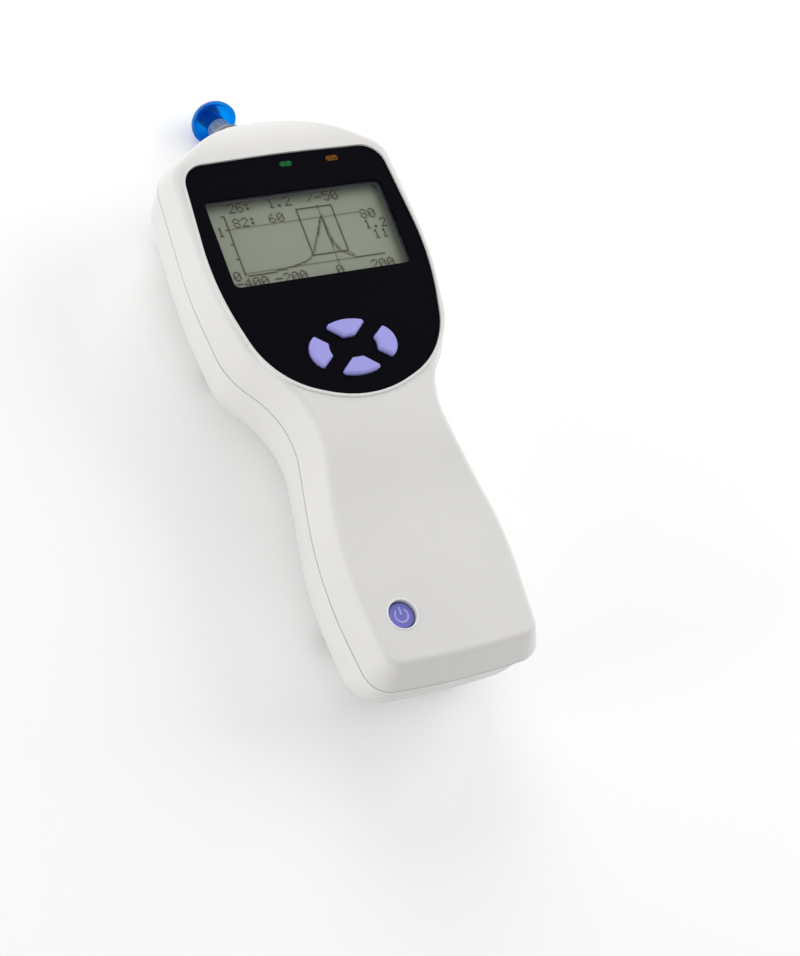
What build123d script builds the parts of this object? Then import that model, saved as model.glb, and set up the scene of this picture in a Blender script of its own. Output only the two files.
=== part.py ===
from build123d import *
from math import atan2, cos, radians, sin, tan
import os

# Handheld ear pressure tester, millimetres.
# Bench frame while modelling: x across, y up the body from its bottom end, z up from the back it lies on.
# The finished pieces move along y so that the origin lies under the middle of the overall length.

# Housing
body_length = 188.0
body_depth = 40.0
seam_height = 28.0
wall = 2.4
face_roll = 2.4
back_roll = 16.0
handle_drop = 2.4
drop_start = 46.0
drop_end = body_length - 106.0
forehead_length = 17.0
forehead_edge = 3.9
head_half = 40.1
grip_half = 32.4
waist_half = 22.5
foot_half = 28.3
groove = 0.3
tongue_height = 1.4

# Fits
fit_gap = 0.3
slide_gap = 0.15
turn_gap = 0.08

# Black panel and window in the face
panel_depth = 1.4
panel_thickness = 1.1
panel_rim_width = 0.8
panel_rim_height = 0.4
panel_border = 3.5
window_width = 60.0
window_height = 29.75
window_y = body_length - 45.2
lens_width = 63.0
lens_height = 33.0
lens_thickness = 1.0

# Display
glass_width = 62.0
glass_height = 32.0
bezel_width = 66.0
bezel_height = 38.0
bezel_lip = 0.6
view_width = 57.4
view_height = 26.0
view_shift = -1.2
glass_thickness = 2.0
backlight_thickness = 2.0
display_gap = 0.1

# Board
board_thickness = 1.6
board_low = 9.0
board_high = body_length - 10.0
board_edge_gap = 1.0
board_post_places = [(12.0, 60.0), (9.5, body_length - 16.5)]
board_post_diameter = 5.0
board_screw_diameter = 1.8
board_screw_grip = 3.4
board_head_diameter = 3.8
board_head_height = 1.6

# Keys
keys_x = -0.3
keys_y = body_length - 85.0
keys_half_width = 14.4
keys_half_height = 9.15
key_rise = 1.5
key_travel = 0.5
key_corner = 0.8
key_bevel = 0.6
key_flange = 0.7
key_flange_thickness = 0.9
key_stem_diameter = 3.0
key_stem_length = 0.4
key_switch_gap = 0.1
switch_size = 4.4
switch_cap = 0.8
power_x = -15.2
power_y = 20.0
power_hole_diameter = 8.7
power_sink = 1.0
power_switch_height = 0.7

# Lamps
lamp_y = body_length - 21.14
green_x = 0.8
amber_x = 16.7
lamp_length = 4.2
lamp_width = 1.8

# Case screws
case_screw_places = [
    (21.5, 28.0),
    (head_half - 12.1, body_length - 70.0),
    (head_half - 11.6, body_length - 21.4),
]
case_screw_diameter = 2.6
case_screw_end = 1.2
case_head_diameter = 5.2
case_head_height = 2.0
case_well_diameter = 6.4
case_boss_diameter = 8.4
case_web_low = 20.0
case_web = 2.0

# Cells, bay and door
cell_diameter = 14.2
cell_length = 50.5
cell_nub = 1.0
cell_nub_diameter = 5.5
cell_floor = 3.7
cell_row_gap = 1.0
cell_side_gap = 0.9
cell_end_gap = 0.5
bay_low = 9.0
bay_wall = 1.6
contact_thickness = 0.6
contact_low = 7.0
contact_high = 17.0
contact_tab_width = 3.0
spring_length = 2.2
spring_gap = 0.1
door_overlap = 0.7
door_thickness = 1.8
door_gap = 0.3
door_seat = 0.2
door_rib = 1.2
hook_radius = 3.1
hook_thickness = 1.4
hook_tip_angle = 62
hook_root_angle = 168
hook_half = 1.2
middle_hook_half = 2.0

# Pump, lying along the body beside the probe
pump_x = -17.0
pump_height = 14.0
motor_diameter = 12.0
motor_length = 15.0
motor_low = body_length - 70.0
screw_diameter = 3.0
screw_length = 19.0
screw_collar = 1.2
screw_collar_diameter = 4.4
shaft_diameter = 1.5
shaft_depth = 2.8
bore_diameter = 10.0
cylinder_diameter = 13.0
cylinder_flange_diameter = 14.4
cylinder_low = body_length - 40.4
cylinder_high = body_length - 18.0
cylinder_end = 1.6
rod_diameter = 7.0
rod_low = motor_low + 24.0
piston_low = body_length - 32.0
piston_length = 4.0
seal_width = 1.6
seal_depth = 0.9
pump_base_low = 6.6
pump_base = 1.2
pump_base_half = 10.0
pump_plate = 1.4
pump_plate_half = 7.5
pump_plate_rise = 7.0
pump_screw_diameter = 1.5
pump_screw_length = 5.0
pump_screw_head = 3.6
pump_screw_head_height = 1.3

# Probe, measured along its own axis from the rim of the ear tip, tilted back from the body's length
probe_tilt = 25.0
rim_y = body_length + 14.6
rim_height = 7.1
tip_radius = 7.5
tip_dome = 6.0
probe_radius = 6.0
neck_radius = 4.1
collar_low = -10.8
collar_high = -7.4
spigot_radius = 2.0
duct_radius = 1.0
tube_radius = 2.0
barb_radius = 1.5
barb_bore_radius = 0.7
barb_length = 3.0
boss_radius = 8.0
boss_tip_radius = 5.6
boss_end = -23.0
probe_low = -39.5
barb_place = -30.5
transducer_x = 3.2
transducer_width = 2.5
transducer_depth = 2.9
receiver_length = 7.8
microphone_length = 5.0
washer_radius = 6.4
collar_radius = 6.2
nose_radius = 3.0
rib_radius = 3.6
rib_width = 0.7
rib_count = 12
spigot_high = 3.5
tip_skin = 1.0
tip_stem_radius = 3.5
tip_stem_low = -2.6
tip_mouth = 1.5

# Corners of the outline, right half, bottom to top: x, y, radius, each at seam, face and back
seam_corners = [
    (0, -0.5, 250),
    (foot_half, 1.2, 8.5),
    (grip_half, 37.5, 128),
    (waist_half, body_length - 101.8, 28.8),
    (head_half - 2.4, body_length - 82.6, 24.5),
    (head_half, body_length - 55.8, 140),
    (head_half - 2.5, body_length - 16.0, 9.4),
    (0, body_length + 9.5, 48.1),
]
face_corners = [
    (0, 6.0, 244),
    (foot_half - 4.6, 6.8, 4.0),
    (grip_half - 6.8, 38.0, 120),
    (waist_half - 3.1, body_length - 101.2, 31.2),
    (head_half - 6.1, body_length - 80.0, 20.5),
    (head_half - 1.8, body_length - 55.0, 138),
    (head_half - 3.5, body_length - 18.4, 8.1),
    (0, body_length + 5.7, 45.8),
]
back_corners = [
    (0, 3.0, 110),
    (foot_half - 1.6, 3.8, 15.0),
    (grip_half - 4.6, 37.8, 100),
    (waist_half - 2.5, body_length - 101.6, 32.3),
    (head_half - 5.5, body_length - 81.3, 20.5),
    (head_half - 3.8, body_length - 55.3, 136),
    (head_half - 5.5, body_length - 16.0, 17.4),
    (0, body_length + 5.3, 42.0),
]

# Corners of the panel, whose round lower end follows its width
panel_half = head_half - panel_border
panel_corners = [
    (0, body_length - 103.2, 0.96 * panel_half),
    (0.79 * panel_half, body_length - 91.2, 0.75 * panel_half),
    (panel_half, body_length - 59.1, 90),
    (panel_half - 3.2, body_length - 18.3, 7.4),
    (0, body_length - 17.5, 403),
]


def mirrored(corners):
    """Whole closed corner list from the right half."""
    left = [(-x, y, radius) for x, y, radius in corners[1:-1]]
    return corners + left[::-1]


def outline(corners, inset=0.0):
    """Closed wire of lines and tangent arcs round the corners, moved inward by the inset."""
    ring = mirrored(corners)
    count = len(ring)
    sides = []
    for i in range(count):
        a = Vector(*ring[i][:2])
        b = Vector(*ring[(i + 1) % count][:2])
        along = (b - a).normalized()
        inward = Vector(-along.Y, along.X)
        sides.append((a + inward * inset, along))
    edges = []
    spans = []
    for i in range(count):
        before, ahead = sides[i - 1], sides[i]
        turn = before[1].X * ahead[1].Y - before[1].Y * ahead[1].X
        offset = ahead[0] - before[0]
        reach = (offset.X * ahead[1].Y - offset.Y * ahead[1].X) / turn
        corner = before[0] + before[1] * reach
        radius = ring[i][2] - inset if turn > 0 else ring[i][2] + inset
        bend = atan2(abs(turn), before[1].dot(ahead[1]))
        back = radius * tan(bend / 2)
        start = corner - before[1] * back
        finish = corner + ahead[1] * back
        toward = (ahead[1] - before[1]).normalized()
        middle = corner + toward * (radius / cos(bend / 2) - radius)
        spans.append((start, middle, finish))
    for i in range(count):
        start, middle, finish = spans[i]
        edges.append(Edge.make_three_point_arc(start, middle, finish))
        edges.append(Edge.make_line(finish, spans[(i + 1) % count][0]))
    return Wire(edges)


def between(low, high, share):
    """Corner list part of the way from one list to another."""
    return [
        tuple(a + (b - a) * share for a, b in zip(first, second))
        for first, second in zip(low, high)
    ]


def stack(low_corners, low_z, high_corners, high_z, inset=0.0):
    """Solid with straight walls between two outlines at two heights."""
    low = Pos(0, 0, low_z) * outline(low_corners, inset)
    high = Pos(0, 0, high_z) * outline(high_corners, inset)
    return Solid.make_loft([low, high], ruled=True)


def face_profile(sink=0.0):
    """Side view of the room under the face: handle level, rise, head level and falling forehead."""
    low = body_depth - handle_drop - sink
    top = body_depth - sink
    run = (drop_end - drop_start) / 2
    middle = (drop_start + run, (low + top) / 2)
    rise = handle_drop / 2
    swing = (run**2 + rise**2) / (2 * rise)
    span = body_length - 1.0 - forehead_start
    bow = (span**2 + forehead_fall**2) / (2 * forehead_fall) - sink
    slope = atan2(span, bow + sink - forehead_fall)
    end = Vector(forehead_start + bow * sin(slope), body_depth - sink - bow * (1 - cos(slope)))
    mid = Vector(
        forehead_start + bow * sin(slope / 2), body_depth - sink - bow * (1 - cos(slope / 2))
    )
    beyond = end + Vector(cos(slope), -sin(slope)) * body_depth
    half = atan2(run, swing - rise) / 2
    first = (drop_start + swing * sin(half), low + swing * (1 - cos(half)))
    second = (drop_end - swing * sin(half), top - swing * (1 - cos(half)))
    yz = lambda p: Vector(0, p[0], p[1])
    points = [(-20, low), (drop_start, low)]
    edges = [
        Edge.make_line(yz(points[0]), yz(points[1])),
        Edge.make_three_point_arc(yz(points[1]), yz(first), yz(middle)),
        Edge.make_three_point_arc(yz(middle), yz(second), yz((drop_end, top))),
        Edge.make_line(yz((drop_end, top)), yz((forehead_start, top))),
        Edge.make_three_point_arc(
            yz((forehead_start, top)), yz((mid.X, mid.Y)), yz((end.X, end.Y))
        ),
        Edge.make_line(yz((end.X, end.Y)), yz((beyond.X, beyond.Y))),
        Edge.make_line(yz((beyond.X, beyond.Y)), yz((-20, beyond.Y))),
        Edge.make_line(yz((-20, beyond.Y)), yz(points[0])),
    ]
    return Face(Wire(edges))


def rim_edges(solid, z_floor):
    """Edges where the upward faces above a height meet the walls."""
    tops = [
        f
        for f in solid.faces()
        if f.center().Z > z_floor and f.normal_at(f.center()).Z > 0.62
    ]
    shared = {}
    for f in tops:
        for e in f.edges():
            key = tuple(round(v, 3) for v in e.center())
            shared.setdefault(key, []).append(e)
    return [group[0] for group in shared.values() if len(group) == 1]


def front_form(inset=0.0, roll=face_roll, start=0.0):
    """Outside of the front cover, or its inside when inset, from a start above the seam."""
    overshoot = 2.0
    rise = body_depth - seam_height
    low = between(seam_corners, face_corners, start / rise)
    high = between(seam_corners, face_corners, 1 + overshoot / rise)
    walls = stack(low, seam_height + start, high, body_depth + overshoot, inset)
    side_view = face_profile(inset)
    room = extrude(side_view, amount=body_depth * 3, dir=(1, 0, 0), both=True)
    form = (walls & room).solids()[0]
    return fillet(rim_edges(form, seam_height + 3), roll) if roll else form


def back_form(inset=0.0):
    """Outside of the rear cover, or its inside when inset: rings of the outline up a rolled edge."""
    roll = back_roll - inset
    steepest = 80
    rings = [Pos(0, 0, seam_height) * outline(seam_corners, inset)]
    for angle in (0, 22, 44, 64, steepest):
        height = inset + roll * (1 - sin(radians(angle)) / sin(radians(steepest)))
        shape = between(back_corners, seam_corners, height / seam_height)
        rings.append(Pos(0, 0, height) * outline(shape, inset + roll * (1 - cos(radians(angle)))))
    return Solid.make_loft(rings)


def plate(corners, inset, low, high):
    """Flat plate bounded by an outline."""
    return extrude(Face(Pos(0, 0, low) * outline(corners, inset)), high - low, dir=(0, 0, 1))


def block(x, y, z):
    """Box between two limits on each axis."""
    corner = Pos(x[0], y[0], z[0])
    low = (Align.MIN, Align.MIN, Align.MIN)
    return corner * Box(x[1] - x[0], y[1] - y[0], z[1] - z[0], align=low)


def post(x, y, low, high, diameter):
    """Upright cylinder between two heights."""
    upright = (Align.CENTER, Align.CENTER, Align.MIN)
    return Pos(x, y, low) * Cylinder(diameter / 2, high - low, align=upright)


def slot(x, y, length, width, low, high):
    """Upright bar with a rounded slot section."""
    return extrude(Pos(x, y, low) * SlotOverall(length, width), high - low)


def pane(width, height, radius, low, high):
    """Plate with rounded corners, centred on the window."""
    return extrude(Pos(0, window_y, low) * RectangleRounded(width, height, radius), high - low)


def turned(points):
    """Solid turned about its own axis from radius and height pairs."""
    section = Face(Wire.make_polygon([(radius, 0, height) for radius, height in points]))
    return revolve(section, Axis.Z)


def tube(outer, inner, low, high):
    """Ring or tube about its own axis."""
    return turned([(inner, low), (outer, low), (outer, high), (inner, high)])


def both_sides(places):
    """Each place and its mirror image across the body."""
    return [(side * x, y) for x, y in places for side in (-1, 1)]


# Levels and places derived from the values above
forehead_start = body_length - forehead_length
forehead_fall = body_depth - seam_height - forehead_edge
face_inside = body_depth - wall
handle_level = body_depth - handle_drop
handle_inside = handle_level - wall
pocket_floor = body_depth - panel_depth
panel_top = pocket_floor + panel_thickness
bezel_top = face_inside - fit_gap
glass_top = bezel_top - bezel_lip
glass_low = glass_top - glass_thickness
backlight_top = glass_low - display_gap
board_top = backlight_top - backlight_thickness
board_bottom = board_top - board_thickness
key_top = panel_top + key_rise
key_flange_top = face_inside - fit_gap
key_flange_low = key_flange_top - key_flange_thickness
key_stem_low = key_flange_low - key_stem_length
switch_top = key_stem_low - key_travel - key_switch_gap
power_top = handle_level - power_sink
power_flange_top = handle_inside - fit_gap
power_switch_top = board_top + power_switch_height
cell_height = cell_floor + cell_diameter / 2
cell_spread = (cell_diameter + cell_row_gap) / 2
bay_half = cell_spread + cell_diameter / 2 + cell_side_gap
bay_ceiling = cell_height + cell_diameter / 2 + fit_gap
spring_low = bay_low + contact_thickness
cells_low = spring_low + spring_length + spring_gap
cells_high = cells_low + 2 * cell_length
bay_high = cells_high + cell_end_gap + contact_thickness
door_half = bay_half + door_overlap
door_low = bay_low - door_gap
door_high = bay_high + door_gap
hinge_y = door_high + door_gap / 2
hook_outer = hook_radius + hook_thickness
hook_side = bay_half - 0.4 - hook_half
hook_places = [(0.0, middle_hook_half), (-hook_side, hook_half), (hook_side, hook_half)]
case_screw_length = handle_inside - case_screw_end - case_web_low
motor_high = motor_low + motor_length
pump_axis = Plane(origin=(pump_x, 0, pump_height), x_dir=(1, 0, 0), z_dir=(0, 1, 0)).location
lean = radians(probe_tilt)
probe_axis = Plane(
    origin=(0, rim_y, rim_height), x_dir=(1, 0, 0), z_dir=(0, cos(lean), -sin(lean))
).location
neck_end = collar_low - 0.2
pieces = {}

# Key shapes: two above and below, two left and right, parted by a slanting cross
def key_face(upright):
    """Top view of one key, as the upper or the right one of the four."""
    w, h = keys_half_width, keys_half_height
    if upright:
        points = [(-0.465 * w, 0.85 * h), (0, h), (0.465 * w, 0.85 * h)]
        inner = [(0.125 * w, 0.39 * h), (0, 0.39 * h), (-0.125 * w, 0.39 * h)]
    else:
        points = [(0.8 * w, 0.56 * h), (w, 0), (0.8 * w, -0.56 * h)]
        inner = [(0.53 * w, -0.22 * h), (0.56 * w, 0), (0.53 * w, 0.22 * h)]
    a, b, c = [Vector(*p) for p in points]
    d, e, f = [Vector(*p) for p in inner]
    inside = Edge.make_line(d, f) if upright else Edge.make_three_point_arc(d, e, f)
    ring = Wire([Edge.make_three_point_arc(a, b, c), Edge.make_line(c, d), inside, Edge.make_line(f, a)])
    face = Face(ring)
    return face.fillet_2d(key_corner, face.vertices())


key_layout = {
    "key_up": (Pos(keys_x, keys_y) * key_face(True), (0, 0.68 * keys_half_height)),
    "key_down": (
        Pos(keys_x, keys_y) * Rot(0, 0, 180) * key_face(True),
        (0, -0.68 * keys_half_height),
    ),
    "key_left": (
        Pos(keys_x, keys_y) * Rot(0, 0, 180) * key_face(False),
        (-0.77 * keys_half_width, 0),
    ),
    "key_right": (Pos(keys_x, keys_y) * key_face(False), (0.77 * keys_half_width, 0)),
}


def key_column(name, grow, low, high):
    """Upright bar with a key's outline, grown outward."""
    face = key_layout[name][0]
    if grow:
        face = offset(face, grow)
    return extrude(Pos(0, 0, low) * face, high - low, dir=(0, 0, 1))


# Front cover: moulded shell with the sunk panel floor, its rim, screw bosses and a locating tongue
front_room = front_form(wall, 0)
front_room -= [
    post(x, y, seam_height - 1, body_depth, case_boss_diameter)
    for x, y in both_sides(case_screw_places)
]
front_room -= [
    post(x, y, board_top, body_depth, board_post_diameter)
    for x, y in both_sides(board_post_places)
]
front_cover = front_form(start=groove) + plate(seam_corners, 0.5, seam_height, seam_height + 0.6)
front_cover -= front_room
front_cuts = [
    plate(panel_corners, -slide_gap, pocket_floor, body_depth + 5),
    pane(lens_width + 0.4, lens_height + 0.4, 2.2, face_inside - 1, body_depth),
    post(power_x, power_y, handle_inside - 1, body_depth + 1, power_hole_diameter),
]
front_cuts += [key_column(name, fit_gap, face_inside - 1, body_depth) for name in key_layout]
front_cuts += [
    slot(x, lamp_y, lamp_length + 0.2, lamp_width + 0.2, face_inside - 1, body_depth)
    for x in (green_x, amber_x)
]
front_cuts += [
    post(x, y, seam_height - 1, handle_inside - case_screw_end / 2, case_screw_diameter + 0.1)
    for x, y in both_sides(case_screw_places)
]
front_cuts += [
    post(x, y, board_top - 1, board_top + board_screw_grip + 0.6, board_screw_diameter + 0.1)
    for x, y in both_sides(board_post_places)
]
front_cover -= front_cuts
rim_low = pocket_floor + 0.2
front_cover += plate(
    panel_corners, -slide_gap - panel_rim_width, rim_low, body_depth + panel_rim_height
) - plate(panel_corners, -slide_gap, rim_low - 1, body_depth + 2)
front_cover += plate(
    seam_corners, 0.55 * wall, seam_height - tongue_height, seam_height + 0.8
) - plate(seam_corners, 0.92 * wall, seam_height - tongue_height - 1, seam_height + 1)
pieces["front_cover"] = front_cover

# Rear cover: moulded shell with the cell bay, screw wells, pump posts and the tilted probe boss
rear_keep = [
    block(
        (-bay_half - bay_wall, bay_half + bay_wall),
        (bay_low - bay_wall, bay_high + bay_wall),
        (-1, bay_ceiling + bay_wall),
    ),
    block(
        (pump_x - 6, pump_x + 6),
        (cylinder_high - 7, cylinder_high - 5),
        (-1, pump_height - cylinder_diameter / 2 - 0.2),
    ),
    probe_axis * turned([(0, boss_end), (boss_radius, boss_end), (boss_radius, -6), (0, -6)]),
]
rear_keep += [
    post(x, y, -1, seam_height - 0.1, case_boss_diameter)
    for x, y in both_sides(case_screw_places)
]
pump_screw_places = [
    (pump_x + side * (pump_base_half - 1.8), y)
    for side in (-1, 1)
    for y in (motor_low + 9, motor_low + 25)
]
rear_keep += [post(x, y, -1, pump_base_low, pump_screw_head - 0.2) for x, y in pump_screw_places]
rear_room = back_form(wall) - rear_keep
rear_neck = probe_axis * turned(
    [(0, boss_end - 0.5), (boss_radius + 0.3, boss_end - 0.5), (boss_tip_radius, neck_end), (0, neck_end)]
)
rear_neck -= back_form(wall)
rear_cover = (back_form() + rear_neck) - rear_room
door_opening = block(
    (-door_half - door_gap, door_half + door_gap),
    (door_low - door_gap - 0.2, door_high + door_gap),
    (-1, seam_height / 2),
)
rear_cuts = [
    block((-bay_half, bay_half), (bay_low, bay_high), (-1, bay_ceiling)),
    door_opening - back_form(door_thickness + door_seat),
    plate(seam_corners, wall / 2, seam_height - tongue_height - 0.2, seam_height + 1)
    - plate(seam_corners, wall + 0.5, seam_height - 3, seam_height + 2),
    probe_axis * tube(neck_radius + 0.2, 0, boss_end - 1, 0),
]
for x, y in both_sides(case_screw_places):
    rear_cuts.append(post(x, y, -1, case_web_low, case_well_diameter))
    rear_cuts.append(post(x, y, 0, seam_height + 1, case_screw_diameter + 0.4))
rear_cuts += [
    post(x, y, wall, pump_base_low + 1, pump_screw_diameter + 0.1) for x, y in pump_screw_places
]
for x, half in hook_places:
    rear_cuts.append(
        block(
            (x - half - 0.4, x + half + 0.4),
            (bay_high - 0.1, bay_high + bay_wall + 0.2),
            (wall, hook_outer + 0.4),
        )
    )
contact_tabs = [(-cell_spread, bay_low), (cell_spread, bay_low), (0, bay_high - contact_thickness)]
tab_half = contact_tab_width / 2
for x, y in contact_tabs:
    rear_cuts.append(
        block(
            (x - tab_half - 0.5, x + tab_half + 0.5),
            (y - 0.2, y + contact_thickness + 0.2),
            (bay_ceiling - 1, bay_ceiling + bay_wall + 1.4),
        )
    )
rear_cover -= rear_cuts
pieces["rear_cover"] = rear_cover


def screw(head_diameter, head_height, diameter, length):
    """Cross-recessed screw pointing up, its head on the base plane."""
    arm = head_diameter / 2
    cross = Rectangle(arm, arm / 4) + Rectangle(arm / 4, arm)
    whole = post(0, 0, 0, head_height, head_diameter)
    whole += post(0, 0, head_height - 0.1, head_height + length, diameter)
    return whole - extrude(cross, head_height / 2)


# Case screws, driven from the back through the webs in the wells
case_screw = screw(
    case_head_diameter, case_head_height, case_screw_diameter, case_screw_length
)
pieces["case_screws"] = Compound(
    [
        Pos(x, y, case_web_low - case_head_height) * case_screw
        for x, y in both_sides(case_screw_places)
    ]
)

# Control panel and window
panel = plate(panel_corners, 0, pocket_floor, panel_top)
panel -= pane(window_width, window_height, 2.0, pocket_floor - 1, panel_top + 1)
panel -= [key_column(name, fit_gap, pocket_floor - 1, panel_top + 1) for name in key_layout]
panel -= [
    slot(x, lamp_y, lamp_length + 0.2, lamp_width + 0.2, pocket_floor - 1, panel_top + 1)
    for x in (green_x, amber_x)
]
pieces["control_panel"] = panel
pieces["display_window"] = pane(
    lens_width, lens_height, 2.0, pocket_floor - lens_thickness, pocket_floor
)

# Display stack on the board
bezel = pane(bezel_width, bezel_height, 1.5, board_top, bezel_top)
bezel -= pane(glass_width + 0.2, glass_height + 0.2, 0.4, board_top - 1, glass_top)
bezel -= Pos(0, view_shift, 0) * pane(view_width, view_height, 2.0, glass_top - 1, bezel_top + 1)
pieces["lcd_bezel"] = bezel
pieces["lcd_glass"] = pane(glass_width, glass_height, 0.3, glass_low, glass_top)
pieces["lcd_backlight"] = pane(
    glass_width, glass_height, 0.3, board_top, backlight_top
)

# Main board, cut to the inside of the front cover and notched round its bosses
share = (board_top - seam_height) / (body_depth - seam_height)
board_corners = between(seam_corners, face_corners, share)
board = plate(board_corners, wall + board_edge_gap, board_bottom, board_top)
board &= block((-60, 60), (board_low, board_high), (0, 60))
board -= [
    post(x, y, board_bottom - 1, board_top + 1, case_boss_diameter + 1)
    for x, y in both_sides(case_screw_places)
]
board -= [
    post(x, y, board_bottom - 1, board_top + 1, board_screw_diameter + 0.3)
    for x, y in both_sides(board_post_places)
]
pieces["main_board"] = board
board_screw = screw(
    board_head_diameter,
    board_head_height,
    board_screw_diameter,
    board_thickness + board_screw_grip,
)
pieces["board_screws"] = Compound(
    [
        Pos(x, y, board_bottom - board_head_height) * board_screw
        for x, y in both_sides(board_post_places)
    ]
)
chip_places = [
    (-8, 38, 12, 12, 2.0),
    (9, 40, 7, 10, 1.6),
    (0, body_length - 100, 10, 14, 2.0),
    (16, body_length - 56, 14, 14, 2.2),
    (4, body_length - 38, 6, 8, 1.6),
]
pieces["board_chips"] = Compound(
    [
        block((x - w / 2, x + w / 2), (y - l / 2, y + l / 2), (board_bottom - h, board_bottom))
        for x, y, w, l, h in chip_places
    ]
)
pieces["buzzer"] = post(8, 70, board_bottom - 3, board_bottom, 9) - post(
    8, 70, board_bottom - 4, board_bottom - 2, 1.5
)

# Keys with a retaining flange and a stem over each switch
switches = []
for name, (face, spot) in key_layout.items():
    column = key_column(name, 0, key_flange_low, key_top)
    column = chamfer(column.faces().sort_by(Axis.Z)[-1].edges(), key_bevel)
    flange = key_column(name, key_flange, key_flange_low, key_flange_top)
    x, y = keys_x + spot[0], keys_y + spot[1]
    stem = post(x, y, key_stem_low, key_flange_low + 0.1, key_stem_diameter)
    pieces[name] = column + flange + stem
    half = switch_size / 2
    case = block((x - half, x + half), (y - half, y + half), (board_top, switch_top - switch_cap))
    switches.append(case + post(x, y, switch_top - switch_cap - 0.1, switch_top, 2.6))
pieces["key_switches"] = Compound(switches)

# Power button, sunk in its round well on the handle, and its low switch
power_cap = post(power_x, power_y, power_flange_top - 0.5, power_top, power_hole_diameter - 0.6)
power_cap = fillet(power_cap.faces().sort_by(Axis.Z)[-1].edges(), 0.5)
power_cap += post(power_x, power_y, power_flange_top - 0.7, power_flange_top, power_hole_diameter + 1.7)
power_cap += post(
    power_x,
    power_y,
    power_switch_top + key_travel + key_switch_gap,
    power_flange_top - 0.6,
    key_stem_diameter,
)
pieces["power_button"] = power_cap
pieces["power_switch"] = post(power_x, power_y, board_top, power_switch_top, 5)

# Lamps: light bars from the board up to the panel's face
for name, x in (("green_light", green_x), ("amber_light", amber_x)):
    pieces[name] = slot(x, lamp_y, lamp_length, lamp_width, board_top, panel_top)

# Battery door: a slice of the rolled back with hooks, inner ribs and thumb grooves
door_block = block((-door_half, door_half), (door_low, door_high), (-1, seam_height / 2))
door = (back_form() & door_block) - back_form(door_thickness)
for x in (-cell_spread, cell_spread):
    door += block(
        (x - door_rib / 2, x + door_rib / 2),
        (door_low + 11, door_high - 10),
        (door_thickness - 0.3, cell_floor - fit_gap),
    )
hook_bends = [radians(hook_tip_angle), radians((hook_tip_angle + hook_root_angle) / 2)]
hook_bends.append(radians(hook_root_angle))
inner_arc = [Vector(0, hook_radius * cos(t), hook_radius * sin(t)) for t in hook_bends]
outer_arc = [Vector(0, hook_outer * cos(t), hook_outer * sin(t)) for t in hook_bends]
hook_side_view = Face(
    Wire(
        [
            Edge.make_three_point_arc(*inner_arc),
            Edge.make_line(inner_arc[2], outer_arc[2]),
            Edge.make_three_point_arc(*outer_arc[::-1]),
            Edge.make_line(outer_arc[0], inner_arc[0]),
        ]
    )
)
for x, half in hook_places:
    door += Pos(x, hinge_y, 0) * extrude(hook_side_view, amount=half, dir=(1, 0, 0), both=True)
for step in range(3):
    y = 27 + 3.2 * step
    door -= slot(0, y, 20, 1.4, -1, 0.6)
pieces["battery_door"] = door

# Four cells in two rows, contacts and springs
cell = post(0, 0, 0, cell_length - cell_nub, cell_diameter)
cell = fillet(cell.edges(), 0.6)
cell += post(0, 0, cell_length - cell_nub - 0.1, cell_length, cell_nub_diameter)
for index in range(4):
    row = 1 if index < 2 else -1
    start = cells_low + cell_length * (index % 2)
    along = Plane(
        origin=(row * cell_spread, start if row > 0 else start + cell_length, cell_height),
        x_dir=(1, 0, 0),
        z_dir=(0, row, 0),
    ).location
    pieces[f"cell_{index + 1}"] = along * cell
near = (bay_low, spring_low)
far = (bay_high - contact_thickness, bay_high)
contact_edge = bay_half - 2.1
contacts = [
    block((-contact_edge, -1.2), near, (contact_low, contact_high)),
    block((1.2, contact_edge), near, (contact_low, contact_high)),
    block((-contact_edge - 0.5, contact_edge + 0.5), far, (contact_low - 1.5, contact_high)),
]
for i, (x, y) in enumerate(contact_tabs):
    contacts[i] += block(
        (x - tab_half, x + tab_half), (y, y + contact_thickness), (contact_high - 1, board_bottom)
    )
pieces["contact_plates"] = Compound(contacts)
spring_axis = Plane(origin=(0, 0, 0), x_dir=(1, 0, 0), z_dir=(0, 1, 0)).location
spring_high = spring_low + spring_length
pieces["contact_springs"] = Compound(
    [
        Pos(x, 0, cell_height)
        * spring_axis
        * turned(
            [
                (3.6, spring_low),
                (4.3, spring_low),
                (3.0, spring_high),
                (2.3, spring_high),
            ]
        )
        for x in (-cell_spread, cell_spread)
    ]
)

# Pump: motor, lead screw, piston in its cylinder, all on one bent frame
shaft_hole = shaft_diameter / 2 + turn_gap
motor = tube(motor_diameter / 2, 0, motor_low, motor_high)
motor += tube(2, 0, motor_low - 1, motor_low + 0.1)
motor -= tube(shaft_hole, 0, motor_high - shaft_depth - 0.2, motor_high + 1)
pieces["pump_motor"] = pump_axis * motor
screw_low = motor_high + pump_plate + 0.6
screw_high = motor_high + screw_length
lead = turned(
    [
        (0, motor_high - shaft_depth),
        (shaft_diameter / 2, motor_high - shaft_depth),
        (shaft_diameter / 2, screw_low),
        (screw_collar_diameter / 2, screw_low),
        (screw_collar_diameter / 2, screw_low + screw_collar),
        (screw_diameter / 2, screw_low + screw_collar),
        (screw_diameter / 2, screw_high - 0.5),
        (screw_diameter / 2 - 0.5, screw_high),
        (0, screw_high),
    ]
)
pieces["lead_screw"] = pump_axis * lead
frame_top = pump_height + pump_plate_rise
base_x = (pump_x - pump_base_half, pump_x + pump_base_half)
frame_high = cylinder_low - 0.1
frame = block(base_x, (motor_low + 5.5, frame_high), (pump_base_low, pump_base_low + pump_base))
plate_x = (pump_x - pump_plate_half, pump_x + pump_plate_half)
motor_plate = block(plate_x, (motor_high, motor_high + pump_plate), (pump_base_low, frame_top))
motor_plate -= pump_axis * tube(shaft_hole + 0.57, 0, motor_high - 1, motor_high + pump_plate + 1)
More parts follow.
